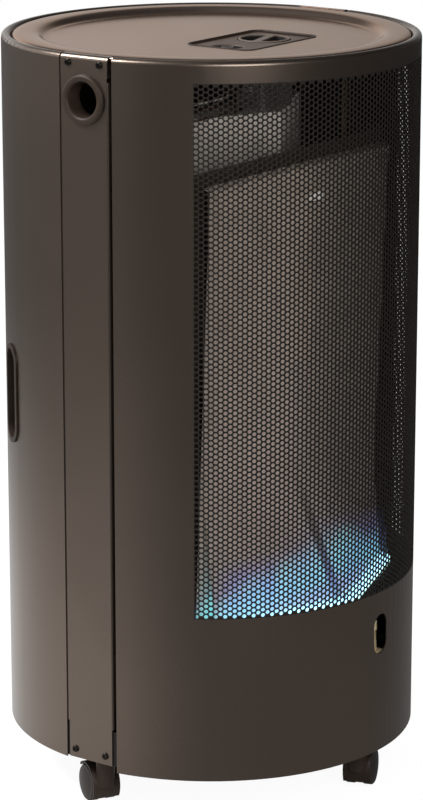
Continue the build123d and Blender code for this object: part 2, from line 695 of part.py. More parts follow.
def burner():
    """Chevron burner: two hollow arms with cross-cut ports, venturi and bracket to the divider."""
    arm = hypot(burner_half, burner_end_y - burner_apex_y)
    body = chevron(burner_width, up(burner_low), up(burner_top), burner_shoulder, arm)
    hollow = chevron(burner_width - 2 * burner_wall, up(burner_low) + burner_wall,
                     up(burner_top) - burner_wall, burner_shoulder * 0.8, arm - burner_wall)
    ports = []
    for side in (-1, 1):
        arm_frame = Pos(0, burner_apex_y, up(burner_top)) * Rot(0, 0, side * arm_angle())
        for k in range(int((arm - 20) / port_pitch)):
            ports.append(arm_frame * Pos(side * (14 + k * port_pitch), 0, 0) * Box(*port_size, 8))
    throat_y = burner_apex_y + 12
    venturi = Pos(0, throat_y) * raise_section(Circle(venturi_radius), up(burner_low) - venturi_length,
                                               up(burner_low) + 1)
    bell = extrude(Circle(venturi_radius + 4), 6.5, taper=30)
    bell = Pos(0, throat_y, up(burner_low) - venturi_length - 6) * bell
    inside = Pos(0, throat_y) * raise_section(Circle(venturi_radius - 1.5),
                                              up(burner_low) - venturi_length - 7, up(burner_low) + 3)
    gusset = raise_section(Pos(0, throat_y) * Circle(venturi_radius + 3), up(burner_low),
                           up(burner_low) + 10)
    arms = []
    for x in (-burner_half * 0.6, burner_half * 0.6):
        arm_y = burner_apex_y + (burner_end_y - burner_apex_y) * abs(x) / burner_half + burner_width / 2 - 1
        arms.append(Pos(x, 0, 0) * across(
            folded([(arm_y, up(burner_low) + 6), (bulkhead_y - sheet / 2, up(burner_low) + 6),
                    (bulkhead_y - sheet / 2, up(burner_low) - 14)], 1.5), 9))
    return body + gusset - hollow - ports + venturi + bell - inside + arms


def injector_place():
    return 0.0, burner_apex_y + 12, up(burner_low) - venturi_length - 6


def run_level(step=0):
    """Height of a service run under the burner; each one crosses above the last."""
    return injector_place()[2] - supply_drop + step * lead_spacing


def pipe_crossings():
    """Where pipes and leads pass the divider, as (x, z, radius)."""
    sides = [(-pipe_side + k * lead_spacing, run_level(k)) for k in range(3)]
    radii = [pilot_pipe_radius, lead_radius, lead_radius]
    return [(pipe_side, run_level(), pipe_radius)] + [(x, z, r) for (x, z), r in zip(sides, radii)]


def feed_pipe():
    """Pipe from the valve's outlet, round the bottle space, to the injector under the venturi."""
    x, y, z = injector_place()
    start = knob_x + valve_size[0] / 2 + valve_outlet
    run = run_level()
    points = [(start, knob_y, valve_middle), (pipe_side, knob_y, valve_middle), (pipe_side, knob_y, run),
              (pipe_side, y + supply_rise, run), (x, y, run), (x, y, z - 3)]
    pipe = tube_run(points, pipe_radius)
    injector = Pos(x, y) * raise_section(Circle(6), z - 8, z + 3)
    nut = Pos(x, y) * raise_section(RegularPolygon(7.5, 6), z - 6, z - 0.5)
    collar = Pos(x, y) * raise_section(Circle(venturi_radius + 1), z - 0.5, z)
    return pipe + injector + nut + collar


def service_run(starts, step, end_x, end_z, radius, bend):
    """Thin run from the controls down beside the bottle and forward to the pilot group."""
    side, level = -pipe_side + step * lead_spacing, run_level(step)
    y = starts[-1][1]
    points = starts + [(side, y, starts[-1][2]), (side, y, level), (side, bulkhead_y - 18 + step * 6, level),
                       (end_x, pilot_y, level), (end_x, pilot_y, end_z)]
    return tube_run(points, radius, bend)


def pilot_pipe():
    """Pipe from the valve's pilot port down to the pilot head."""
    start = (knob_x - valve_size[0] / 2, knob_y + valve_size[1] / 2 - 3, valve_low + 5)
    return service_run([start], 0, pilot_x, pilot_deck + 1.5, pilot_pipe_radius, 6.0)


def thermocouple():
    """Probe beside the pilot flame, with its lead back to the valve's magnet."""
    low = valve_low + 2.5
    turn_x = magnet_end - 4
    starts = [(magnet_end, knob_y, valve_middle), (turn_x, knob_y, valve_middle), (turn_x, knob_y, low),
              (turn_x, knob_y - 10, low)]
    lead = service_run(starts, 1, probe_x, pilot_deck - 3, lead_radius, 1.9)
    probe = Pos(probe_x, pilot_y) * raise_section(Circle(2.4), pilot_deck - 4, pilot_deck + 24)
    tip = Pos(probe_x, pilot_y) * raise_section(Circle(1.6), pilot_deck + 23, pilot_deck + 33)
    return lead + probe + tip


def ignition_lead():
    """High-tension lead from the igniter to the electrode's foot."""
    low = dish_z - piezo_body - 1.5
    starts = [(piezo_x, knob_y, low), (piezo_x, knob_y, low - 3)]
    return service_run(starts, 2, electrode_x, pilot_deck - 6, lead_radius, 1.9)


def pilot_bracket():
    """Small plate hung under the burner's point, which carries the pilot group."""
    deck = block((-17, 17), (pilot_y - 9, pilot_y + 12), (pilot_deck, pilot_deck + 1.5))
    hanger = block((-12, 12), (burner_apex_y - 6, burner_apex_y - 4.5), (pilot_deck, up(burner_low)))
    link = block((-12, 12), (pilot_y + 10, burner_apex_y - 4.5), (pilot_deck, pilot_deck + 1.5))
    fits = ((electrode_x, 3.4), (probe_x, 2.4), (pilot_x, pilot_pipe_radius))
    holes = [Pos(x, pilot_y, pilot_deck) * Cylinder(radius + 0.1, 8) for x, radius in fits]
    return deck + hanger + link - holes


def pilot_burner():
    """Pilot head with its flame hood, standing on the bracket."""
    low = pilot_deck + 1.5
    head = Pos(pilot_x, pilot_y) * raise_section(RegularPolygon(5, 6), low, low + 10)
    head += Pos(pilot_x, pilot_y) * raise_section(Circle(4.6), low + 10, low + 22)
    hood = Pos(pilot_x, pilot_y, low + 22) * (extrude(Circle(5.2), 9) - extrude(Circle(4.2), 12)
                                              - Pos(0, 0, 6) * Box(20, 4, 8))
    return head + hood


def spark_electrode():
    """Ceramic-sleeved electrode beside the pilot, its wire bent over the flame."""
    low = pilot_deck - 6
    base = Pos(electrode_x, pilot_y)
    ceramic = base * (raise_section(Circle(3.4), low, pilot_deck + 26)
                      + raise_section(Circle(4.6), pilot_deck + 1.5, pilot_deck + 7))
    wire = tube_run([(electrode_x, pilot_y, pilot_deck + 25), (electrode_x, pilot_y, pilot_deck + 38),
                     (pilot_x - 6, pilot_y, pilot_deck + 40)], 0.9, 3.0)
    return ceramic + wire


# --- casters ------------------------------------------------------------------------------
def caster_places():
    return {name: polar(caster_radius, bearing) for name, bearing in caster_bearings.items()}


def caster_frame(name):
    """Frame of a caster: origin under its pin at the floor, +X towards its wheels."""
    x, y = caster_places()[name]
    return Pos(x, y, 0) * Rot(0, 0, caster_trails[name])


def caster_stem(name):
    """Threaded stem: pin in the hood's boss, plate under the tray, nut above it."""
    pin = raise_section(Circle(pin_radius), pin_low, boss_top)
    plate = raise_section(Circle(15), boss_top, base_low)
    thread = raise_section(Circle(pin_radius), base_low, base_floor + 9)
    nut = raise_section(RegularPolygon(9.5, 6), base_floor, base_floor + 6)
    return caster_frame(name) * (pin + plate + thread + nut)


def caster_hood(name):
    """Swivelling body: central web, wrap-over hood and the upright boss for the stem."""
    total = 2 * wheel_width + wheel_gap
    web_half = wheel_gap / 2 - 0.4
    axle = Pos(caster_trail, 0, wheel_radius) * Rot(90, 0, 0)
    web = axle * Cylinder(wheel_radius - 5, 2 * web_half)
    arch = axle * (Cylinder(hood_radius, total) - Cylinder(hood_radius - hood_wall, 2 * total))
    far = 2 * hood_radius
    arch &= (block((-far, caster_trail + hood_front), (-far, far), (wheel_radius + 2, 2 * far))
             + block((-far, caster_trail - hood_rear), (-far, far), (hood_skirt, 2 * far)))
    spine = axle * Cylinder(hood_radius - hood_wall / 2, 2 * web_half)
    spine &= block((-far, 2 * far), (-far, far), (wheel_radius - 4, 2 * far))
    boss = raise_section(Circle(pin_radius + 4.5), hood_top - 21, boss_top - 0.3)
    boss -= axle * Cylinder(wheel_radius + hood_clear, 2 * total)
    bore = raise_section(Circle(pin_radius + pin_fit), pin_low - 0.5, boss_top + 2)
    axle_bore = axle * Cylinder(axle_radius + pin_fit, 3 * total)
    return caster_frame(name) * (web + spine + arch + boss - bore - axle_bore)


def caster_wheels(name):
    """Twin wheels pressed on one axle, with domed outer faces."""
    axle = Pos(caster_trail, 0, wheel_radius) * Rot(90, 0, 0)
    half_gap = wheel_gap / 2
    wheel = Pos(0, 0, half_gap + wheel_width / 2) * Cylinder(wheel_radius, wheel_width)
    wheel = chamfer(wheel.edges().filter_by(GeomType.CIRCLE), 1.6)
    outer, rim = half_gap + wheel_width, wheel_radius - 3
    ball = (rim**2 + wheel_crown**2) / (2 * wheel_crown)
    dome = Pos(0, 0, outer + wheel_crown - ball) * Sphere(ball)
    dome &= Pos(0, 0, outer) * Cylinder(rim, 2 * wheel_crown)
    both = wheel + dome + mirror(wheel + dome, about=Plane.XY)
    return caster_frame(name) * (axle * (both + Cylinder(axle_radius, wheel_gap + 2)))


# --- write the parts ----------------------------------------------------------------------
def build():
    parts = {
        "base_tray": base_tray(), "lid": lid(), "front_shell": front_shell(),
        "front_grille": front_grille(), "rear_cover": rear_cover(),
        "pillar_right": pillar(), "pillar_left": mirror(pillar(), about=Plane.YZ),
        "grommet_right": grommet(), "grommet_left": mirror(grommet(), about=Plane.YZ),
        "grip_right": grip(1), "grip_left": grip(-1),
        "control_panel": control_panel(), "control_knob": control_knob(),
        "valve_spindle": valve_spindle(), "gas_valve": gas_valve(),
        "piezo_button": piezo_button(), "piezo_igniter": piezo_igniter(),
        "bulkhead": bulkhead(), "reflector": reflector(), "valve_shield": valve_shield(),
        "burner": burner(), "feed_pipe": feed_pipe(), "pilot_pipe": pilot_pipe(),
        "thermocouple": thermocouple(), "ignition_lead": ignition_lead(),
        "pilot_bracket": pilot_bracket(), "pilot_burner": pilot_burner(),
        "spark_electrode": spark_electrode(),
    }
    screws = pillar_screws()
    parts["pillar_screws_right"] = Compound(screws)
    parts["pillar_screws_left"] = Compound([mirror(screw, about=Plane.YZ) for screw in screws])
    for name in caster_bearings:
        parts[f"caster_stem_{name}"] = caster_stem(name)
        parts[f"caster_hood_{name}"] = caster_hood(name)
        parts[f"caster_wheels_{name}"] = caster_wheels(name)
    return parts


os.makedirs("parts", exist_ok=True)
for node, part in build().items():
    export_step(part, f"parts/{node}.step")
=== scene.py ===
# %% [markdown]
# # A cylindrical gas heater, dressed for the studio
#
# The solids of this heater are already modelled: a round sheet-steel housing on casters, a wide
# perforated window, and a burner with its reflector behind it. This lesson gives them their real
# surfaces. Small things that would weigh the solids down, such as some nine thousand holes, the
# flames and the grain of the enamel, are made here.
#
# Everything is in metres. The floor is at z = 0, the front looks towards -Y and the housing stands
# on the Z axis. The first cell loads the solids, which are never moved or changed.

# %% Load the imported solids
import json
from math import cos, pi, radians, sin

import bmesh
import bpy
from mathutils import Euler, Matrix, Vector


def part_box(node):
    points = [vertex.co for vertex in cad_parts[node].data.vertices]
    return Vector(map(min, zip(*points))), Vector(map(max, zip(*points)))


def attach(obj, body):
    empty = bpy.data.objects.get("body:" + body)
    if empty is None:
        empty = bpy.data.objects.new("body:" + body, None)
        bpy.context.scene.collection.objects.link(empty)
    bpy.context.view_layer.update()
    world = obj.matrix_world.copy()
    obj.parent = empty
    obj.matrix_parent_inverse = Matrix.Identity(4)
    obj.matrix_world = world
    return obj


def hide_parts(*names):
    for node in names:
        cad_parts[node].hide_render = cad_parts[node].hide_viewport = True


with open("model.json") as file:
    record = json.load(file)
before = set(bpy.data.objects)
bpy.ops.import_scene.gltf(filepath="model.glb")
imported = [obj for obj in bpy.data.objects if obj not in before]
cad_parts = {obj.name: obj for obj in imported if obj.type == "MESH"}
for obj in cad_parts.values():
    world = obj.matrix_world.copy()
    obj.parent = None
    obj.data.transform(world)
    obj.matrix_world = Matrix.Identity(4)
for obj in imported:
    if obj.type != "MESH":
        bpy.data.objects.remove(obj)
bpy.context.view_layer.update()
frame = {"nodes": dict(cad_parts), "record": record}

# %% [markdown]
# ## Shader maths that reads like arithmetic
#
# A material is a graph of nodes, and long chains of Math nodes are hard to read. `Value` wraps one
# socket so that `1 - mask * 0.3` adds the nodes by itself. `Finish` holds one material and has a
# single method that adds any other kind of node. Numbers that are the same everywhere are set on the
# shader's own sockets, so that they survive an export.

# %% Value and Finish
class Value:
    """One shader socket that can be used in arithmetic."""

    def __init__(self, finish, socket):
        self.finish, self.socket = finish, socket

    def math(self, operation, first, second=0.0, clamp=False):
        return self.finish.node("Math", {"operation": operation, "use_clamp": clamp},
                                {0: first, 1: second})

    def __add__(self, other):
        return self.math("ADD", self, other)

    def __sub__(self, other):
        return self.math("SUBTRACT", self, other)

    def __rsub__(self, other):
        return self.math("SUBTRACT", other, self)

    def __mul__(self, other):
        return self.math("MULTIPLY", self, other)

    def __truediv__(self, other):
        return self.math("DIVIDE", self, other)

    def __pow__(self, other):
        return self.math("POWER", self, other)

    __radd__, __rmul__ = __add__, __mul__

    def clamped(self):
        return self.math("ADD", self, 0.0, clamp=True)

    def ramp(self, low, high):
        """0 below low, 1 above high, smooth between."""
        t = ((self - low) / (high - low)).clamped()
        return t * t * (3 - 2 * t)


class Finish:
    """A material with a Principled shader, and one method that adds any other node to it."""

    def __init__(self, name, **constants):
        self.material = bpy.data.materials.new(name)
        self.material.use_nodes = True
        self.tree = self.material.node_tree
        self.shader = self.tree.nodes["Principled BSDF"]
        for socket, number in constants.items():
            self.shader.inputs[socket.replace("_", " ")].default_value = number

    @classmethod
    def on(cls, tree):
        """The same methods for a tree that is there already, such as the world's."""
        sheet = cls.__new__(cls)
        sheet.tree = tree
        return sheet

    def node(self, kind, settings=None, inputs=None, output=0):
        made = self.tree.nodes.new("ShaderNode" + kind)
        for key, setting in (settings or {}).items():
            if key == "stops":
                self.set_stops(made.color_ramp.elements, setting)
            else:
                setattr(made, key, setting)
        for key, value in (inputs or {}).items():
            if isinstance(value, Value):
                self.tree.links.new(value.socket, made.inputs[key])
            else:
                made.inputs[key].default_value = value
        return Value(self, made.outputs[output])

    @staticmethod
    def set_stops(elements, stops):
        for k, (place, colour) in enumerate(stops):
            element = elements[k] if k < 2 else elements.new(place)
            element.position, element.color = place, colour

    def place(self):
        return self.node("TexCoord", output="Object")

    def axes(self):
        split = self.tree.nodes.new("ShaderNodeSeparateXYZ")
        self.tree.links.new(self.place().socket, split.inputs[0])
        return [Value(self, split.outputs[k]) for k in range(3)]

    def noise(self, scale, detail=2.0, stretch=(1, 1, 1), roughness=0.5):
        spot = self.place()
        if stretch != (1, 1, 1):
            spot = self.node("Mapping", {}, {0: spot, 3: stretch})
        return self.node("TexNoise", {}, {"Vector": spot, "Scale": scale, "Detail": detail,
                                          "Roughness": roughness})

    def blend(self, factor, first, second):
        """Sockets 6 and 7 are the Mix node's two colours, and output 2 is the mixed one."""
        return self.node("Mix", {"data_type": "RGBA"}, {0: factor, 6: first, 7: second}, output=2)

    def bump(self, height, strength, distance):
        return self.node("Bump", {}, {"Height": height, "Strength": strength, "Distance": distance})

    def set(self, **links):
        for socket, value in links.items():
            self.tree.links.new(value.socket, self.shader.inputs[socket.replace("_", " ")])
        return self


def rgb(red, green, blue):
    """A colour given in screen values of 0 to 255, as the linear numbers that shaders use."""
    linear = (((v / 255 + 0.055) / 1.055) ** 2.4 if v > 10 else v / 3294 for v in (red, green, blue))
    return (*linear, 1.0)


def scaled(colour, share, more=0.0):
    """The same hue, darker for a share below 1 and paler above it."""
    return (*(min(1, share * c + more) for c in colour[:3]), 1)


black = (0, 0, 0, 1)
print("shader helpers ready")

# %% [markdown]
# ## Enamel, plastic and heated steel
#
# The housing is baked enamel with fine metal flakes under a thin clear layer. From a step away it is a
# dark, slightly brown satin; close by it sparkles, and the spray leaves a faint orange peel. The flakes
# are a very fine noise that changes colour only a little, and the peel is a coarser noise that only
# bends the normal. A wide, slow noise keeps the gloss from looking machine-perfect.

# %% Finishes of the housing
flake_scale, peel_scale, cloud_scale = 2600, 420, 5


def enamel(name, colour, metal, gloss, flake=0.30, coat=0.0, specular=0.25, tint=(1, 1, 1, 1)):
    finish = Finish(name, Metallic=metal, Specular_IOR_Level=specular, Specular_Tint=tint,
                    Coat_Weight=coat, Coat_Roughness=0.14)
    flakes = finish.noise(flake_scale, 1.0).ramp(0.50, 0.72)
    cloud = finish.noise(cloud_scale, 2.0)
    base = finish.blend(flakes * flake, colour, scaled(colour, 2.1))
    shade = finish.blend(cloud.ramp(0.40, 0.62) * 0.5, base, scaled(colour, 0.88))
    peel = finish.noise(peel_scale, 2.0)
    return finish.set(Base_Color=shade, Roughness=gloss + 0.08 * (cloud - 0.5) + 0.05 * flakes,
                      Normal=finish.bump(peel, 0.10, 0.0002)).material


finishes = {
    "enamel": enamel("satin_brown_enamel", rgb(108, 96, 87), metal=0.92, gloss=0.30, coat=0.15),
    "grille_enamel": enamel("grille_enamel", rgb(36, 32, 29), metal=0.2, gloss=0.5, specular=0.12),
    "lid_paint": enamel("lid_enamel", rgb(160, 141, 130), metal=0.95, gloss=0.16, flake=0.20,
                        tint=(0.80, 0.68, 0.60, 1)),
    "base_enamel": enamel("black_base_enamel", rgb(26, 24, 22), metal=0.1, gloss=0.45, flake=0.05),
}
print("enamels", sorted(finishes))

# %% [markdown]
# Moulded plastic is matt because its mould is etched with a fine grain. A Voronoi pattern with cells of
# less than a millimetre gives that leathery grain through the bump alone. Handled places get shinier,
# so a slow noise also varies the roughness. Little light reaches the bottom of a groove or a finger
# dish, and dust stays there, so below a given height a plastic is painted dark, as shade and dust, and
# turns dull.

# %% Plastic and rubber finishes
dust_and_painted_shade = rgb(12, 11, 10)
handled_scale = 28


def plastic(name, colour, rough, grain=1500, depth=0.25, specular=0.45, hollow=None):
    """Grained plastic; below the height hollow, in metres, it is painted dark as shade and dust, and dull.
    """
    finish = Finish(name, Specular_IOR_Level=specular)
    cells = finish.node("TexVoronoi", {"feature": "SMOOTH_F1"},
                        {"Vector": finish.place(), "Scale": grain}, output="Distance")
    handled = finish.noise(handled_scale, 3.0)
    shade = finish.blend(handled.ramp(0.45, 0.75) * 0.5, colour, scaled(colour, 1.35, 0.004))
    dusty = rough - 0.12 * handled.ramp(0.5, 0.8)
    if hollow:
        # Painted shade and dust: below the height hollow the colour turns dark and the surface dull.
        depths = 1 - finish.axes()[2].ramp(hollow - 0.0012, hollow)
        shade = finish.blend(depths * 0.95, shade, dust_and_painted_shade)
        dusty = dusty + depths * (0.9 - dusty)
    return finish.set(Base_Color=shade, Roughness=dusty,
                      Normal=finish.bump(cells, depth, 0.00015)).material


panel_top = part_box("control_panel")[1][2]
# The hollow heights paint shade and dust into the plate's groove and finger dish and the knob's scoops.
plastics = {
    "dark_plastic": plastic("grained_dark_plastic", rgb(44, 35, 29), rough=0.45, specular=0.16),
    "wheel_plastic": plastic("caster_nylon", rgb(37, 30, 26), rough=0.48, grain=900, specular=0.25),
    "panel_plastic": plastic("panel_plastic", rgb(74, 63, 57), rough=0.50, grain=1800, depth=0.12,
                             specular=0.2, hollow=panel_top - 0.0014),
    "knob_plastic": plastic("knob_plastic", rgb(84, 73, 66), rough=0.44, grain=2200, depth=0.08,
                            specular=0.2, hollow=panel_top),
    "button_plastic": plastic("button_plastic", rgb(46, 44, 43), rough=0.28, grain=2200, depth=0.06),
    "lead_cover": plastic("silicone_sleeve", rgb(176, 168, 156), rough=0.6, grain=700),
    "ceramic": plastic("glazed_ceramic", rgb(226, 216, 196), rough=0.22, grain=160, depth=0.05),
}
finishes.update(plastics)
print("plastics", len(plastics))

# %% [markdown]
# Steel that has seen flames changes colour from straw through brown to a blue-grey, in bands that follow
# the heat upwards. Rolled sheet also keeps fine streaks along the rolling direction. One function makes
# all the bare metals from a stretched noise for the streaks and a slow one for dull patches. What only
# some of them have, such as heat bands or the light of the flames, is laid over that in functions of its
# own.

# %% Streaks, dull patches, heat bands and a painted highlight
streak_scale, dull_scale = 260, 18


def heat_bands(finish, shade, dull, low, high, stain):
    """The stain at the height low, fading out up to the height high."""
    warmth = 1 - (finish.axes()[2] + 0.03 * (dull - 0.5)).ramp(low, high)
    return finish.blend(warmth * 0.75, shade, stain)


def painted_highlight_patch(finish, shade, metallic, rough, low, high, edge=0.0005):
    """A painted highlight: bright, smooth steel inside the box from the corner low to the corner high."""
    inside = 1
    for axis, start, end in zip(finish.axes(), low, high):
        inside = inside * axis.ramp(start - edge, start) * (1 - axis.ramp(end, end + edge))
    finish.set(Metallic=metallic * (1 - inside))
    return finish.blend(inside, shade, rgb(255, 250, 242)), rough - (rough - 0.25) * inside


def metal(name, colour, rough=0.35, streak=(1, 1, 14), heat=None, metallic=0.9, lit=None, painted_highlight_box=None):
    finish = Finish(name, Metallic=metallic)
    streaks = finish.noise(streak_scale, 3.0, stretch=streak)
    dull = finish.noise(dull_scale, 4.0)
    shade = finish.blend(dull.ramp(0.42, 0.68) * 0.6, colour, scaled(colour, 0.72))
    if heat:
        shade = heat_bands(finish, shade, dull, *heat)
    if lit:
        shade = flame_lit(finish, shade, colour, dull, lit)
    # A painted highlight inside the given box.
    if painted_highlight_box:
        shade, rough = painted_highlight_patch(finish, shade, metallic, rough, *painted_highlight_box)
    return finish.set(Base_Color=shade, Roughness=rough + 0.16 * (streaks - 0.5) + 0.10 * (dull - 0.5),
                      Normal=finish.bump(streaks, 0.06, 0.0002)).material


print("metal ready")

# %% [markdown]
# The reflector stands right behind the flames. It throws their light back as a cyan band, which climbs
# from both ends towards the nose in the middle, over a violet haze. The fold of the nose faces away from
# both rows of flames, so it is painted as a dark line of shade. The sheet is also painted darker towards
# +X, as shade on the side away from the lamps. Light that is thrown back is drawn as weak Emission Color,
# so that it follows the bands exactly.

# %% Light of the flames on the reflector
# Painted shade on the +X side of the reflector: where it starts, where it ends and how strong it is.
painted_shade_start, painted_shade_end, painted_shade_share = -0.03, 0.09, 0.60
band_rise = 1.5
fold_inner, fold_outer = 0.00001, 0.00010


def flame_lit(finish, shade, colour, dull, lit):
    """Painted shade on the +X side and along the fold of the nose, and cyan and violet light round the
    height lit.
    """
    finish.shader.inputs["Emission Strength"].default_value = 1.0
    x, _, z = finish.axes()
    # Painted shade: the sheet turns darker towards +X, on the side away from the lamps.
    shade = finish.blend(x.ramp(painted_shade_start, painted_shade_end) * painted_shade_share, shade, scaled(colour, 0.22))
    aside = x * x
    height = z + band_rise * aside + 0.030 * (dull - 0.5)
    # Painted shade along the fold of the nose, below the band; it also dims the thrown-back light there.
    fold = (1 - aside.ramp(fold_inner, fold_outer)) * (1 - height.ramp(lit + 0.02, lit + 0.12))
    open_sheet = 1 - 0.85 * fold
    band = height.ramp(lit - 0.024, lit) * (1 - height.ramp(lit + 0.004, lit + 0.034)) * open_sheet
    haze = (1 - height.ramp(lit - 0.012, lit + 0.052)) * open_sheet
    violet = finish.blend(haze, black, rgb(92, 92, 136))
    finish.set(Emission_Color=finish.blend(band * 0.9, violet, rgb(88, 186, 192)))
    return finish.blend(fold * 0.6, shade, scaled(colour, 0.15))


print("flame light ready")

# %% [markdown]
# Heights and places come from the solids. The shield's bands span its own height, and the hook that holds
# the reflector is the foremost part of the divider, painted near-white there as a highlight.

# %% All the bare metals
shield_low, shield_high = (corner[2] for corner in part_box("valve_shield"))
hook_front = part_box("bulkhead")[0][1]
# The hook is painted as a near-white highlight inside this box.
hook_highlight_box = ((0.010, hook_front, 0.585), (0.036, hook_front + 0.004, 0.610))
round_streak, wire_streak = (1, 1, 1), (1, 1, 20)
metals = {
    "reflector_steel": metal("aluminised_reflector", rgb(224, 208, 194), rough=0.46, metallic=0.40,
                             heat=(0.30, 0.62, rgb(246, 228, 218)), lit=0.232),
    "shield_steel": metal("aluminised_shield", rgb(248, 238, 228), rough=0.42, metallic=0.35,
                          heat=(shield_low, shield_high, rgb(120, 110, 102))),
    "heated_steel": metal("heat_darkened_steel", rgb(74, 62, 52), rough=0.55, metallic=0.4,
                          heat=(0.30, 0.62, rgb(48, 42, 38)), painted_highlight_box=hook_highlight_box),
    "burner_steel": metal("burner_steel", rgb(120, 112, 104), rough=0.50, streak=(9, 1, 1),
                          heat=(0.17, 0.20, rgb(96, 78, 66))),
    "screw_steel": metal("blackened_screw", rgb(46, 42, 39), rough=0.26, streak=round_streak),
    "cast_alloy": metal("die_cast_alloy", rgb(172, 170, 166), rough=0.52, streak=round_streak),
    "brass": metal("tarnished_brass", rgb(116, 98, 66), rough=0.38, streak=wire_streak),
    "pilot_brass": metal("pilot_brass", rgb(236, 212, 168), rough=0.34, streak=wire_streak, metallic=0.5),
    "copper": metal("drawn_copper", rgb(124, 92, 72), rough=0.42, streak=(1, 1, 10)),
}
finishes.update(metals)
print("metals", len(metals), "finishes", len(finishes))

# %% [markdown]
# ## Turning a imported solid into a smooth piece
#
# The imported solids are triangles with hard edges, exactly as they came from the CAD program. Most of
# them have the right shape, so a copy is welded, its gentle edges are shaded smooth and its sharp ones
# stay sharp. The copy takes the finish that the record names for its solid, rides on the same body and
# stands in for it. Weighted normals keep the flat faces flat where a rounded edge runs into them.

# %% Dress the solids that already have the right shape
record = frame["record"]
slot_of = {part["node"]: part["material_slot"] for part in record["subparts"]}
body_of = {node: body for body, nodes in record["behaviour"]["bodies"].items() for node in nodes}


def finish_of(node):
    """The finish of the node's slot; the pilot's own brass parts are cleaner than the other brass."""
    return finishes["pilot_brass" if node in ("pilot_bracket", "pilot_burner") else slot_of[node]]


def finish_piece(piece, node, angle=32, bevel=0.0):
    """Smooth shading, the finish of its solid's record slot, and the body for a piece that goes with a
    solid.
    """
    piece.data.materials.clear()
    piece.data.materials.append(finish_of(node))
    piece.data.shade_smooth()
    piece.data.set_sharp_from_angle(angle=radians(angle))
    if bevel:
        edge = piece.modifiers.new("edge", "BEVEL")
        edge.width, edge.segments, edge.limit_method, edge.angle_limit = bevel, 2, "ANGLE", radians(40)
        edge.harden_normals = True
    flat = piece.modifiers.new("flat_faces_stay_flat", "WEIGHTED_NORMAL")
    flat.weight, flat.keep_sharp = 100, True
    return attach(piece, body_of[node])


def new_piece(name, mesh):
    piece = bpy.data.objects.new(name, mesh)
    bpy.context.scene.collection.objects.link(piece)
    return piece


def welded_copy(node):
    mesh = frame["nodes"][node].data.copy()
    shape = bmesh.new()
    shape.from_mesh(mesh)
    bmesh.ops.remove_doubles(shape, verts=shape.verts, dist=2e-6)
    bmesh.ops.dissolve_degenerate(shape, edges=shape.edges, dist=1e-6)
    bmesh.ops.dissolve_limit(shape, angle_limit=radians(0.4), verts=shape.verts, edges=shape.edges)
    shape.to_mesh(mesh)
    shape.free()
    return mesh


def dress(node):
    piece = new_piece(node + ".dressed", welded_copy(node))
    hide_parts(node)
    return finish_piece(piece, node)


remade = {"front_grille", "control_panel"}
dressed = {node: dress(node) for node in frame["nodes"] if node not in remade}
print("dressed", len(dressed), "pieces with", sum(len(p.data.polygons) for p in dressed.values()), "faces")

# %% [markdown]
# ## Rings and paths
#
# The next three pieces follow a line: round a rectangle with round corners, or round a circle. A shape
# that keeps one profile along such a line is a stack of rings with equally many points, joined by quads.

# %% Rings, paths and closed shapes
def corner_path(half, corner, steps=8):
    """Points round a rectangle with round corners, counter-clockwise."""
    path = []
    for quarter, (side_x, side_y) in enumerate(((1, 1), (-1, 1), (-1, -1), (1, -1))):
        for k in range(steps + 1):
            angle = pi / 2 * (quarter + k / steps)
            path.append((side_x * (half[0] - corner) + corner * cos(angle),
                         side_y * (half[1] - corner) + corner * sin(angle)))
    return path


def lathe_ring(radius, z, count, middle=(0.0, 0.0)):
    angles = [2 * pi * k / count for k in range(count)]
    return [(middle[0] + radius * cos(a), middle[1] + radius * sin(a), z) for a in angles]


def ring_piece(name, rings, joined=False, capped=True):
    """A piece of quads between rings; joined closes last to first, capped closes both ends."""
    shape = bmesh.new()
    loops = [[shape.verts.new(point) for point in ring] for ring in rings]
    count = len(loops[0])
    for low, high in zip(loops, loops[1:] + loops[:1] if joined else loops[1:]):
        for k in range(count):
            shape.faces.new((low[k], low[(k + 1) % count], high[(k + 1) % count], high[k]))
    if capped and not joined:
        shape.faces.new(reversed(loops[0]))
        shape.faces.new(loops[-1])
    bmesh.ops.recalc_face_normals(shape, faces=shape.faces)
    mesh = bpy.data.meshes.new(name)
    shape.to_mesh(mesh)
    shape.free()
    return new_piece(name, mesh)


print("ring helpers ready")

# %% [markdown]
# ## The control plate
#
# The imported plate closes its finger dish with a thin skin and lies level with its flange. The real one
# is sunk a little in the lid's opening, with a dark line round it, and the igniter's button stands free
# in the dish. An exact Boolean cuts a copy three times: a bar lowers the face, a ring follows the
# opening's edge, and a turned shape opens the dish with a rounded lip.

# %% The shapes that are cut away
opening_half, opening_corner = (0.062, 0.0385), 0.012
plate_middle = (0.0, -0.050)
groove_wide, groove_deep = 0.0026, 0.0016
face_z = panel_top - 0.0006
above_plate = panel_top + 0.001
button_low, button_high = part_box("piezo_button")
dish_middle = ((button_low[0] + button_high[0]) / 2, (button_low[1] + button_high[1]) / 2)
dish_floor_z = panel_top - 0.0063
dish_profile = [(0.0118, dish_floor_z), (0.0132, dish_floor_z + 0.0004), (0.0142, dish_floor_z + 0.0014),
                (0.0158, face_z - 0.0010), (0.0164, face_z - 0.0003), (0.0174, face_z + 0.0001),
                (0.0174, above_plate)]


def opening_ring(grow, z, corner=None):
    """A ring round the lid's opening, wider than it by grow on each side."""
    path = corner_path([v + grow for v in opening_half], corner or opening_corner + grow)
    return [(x + plate_middle[0], y + plate_middle[1], z) for x, y in path]


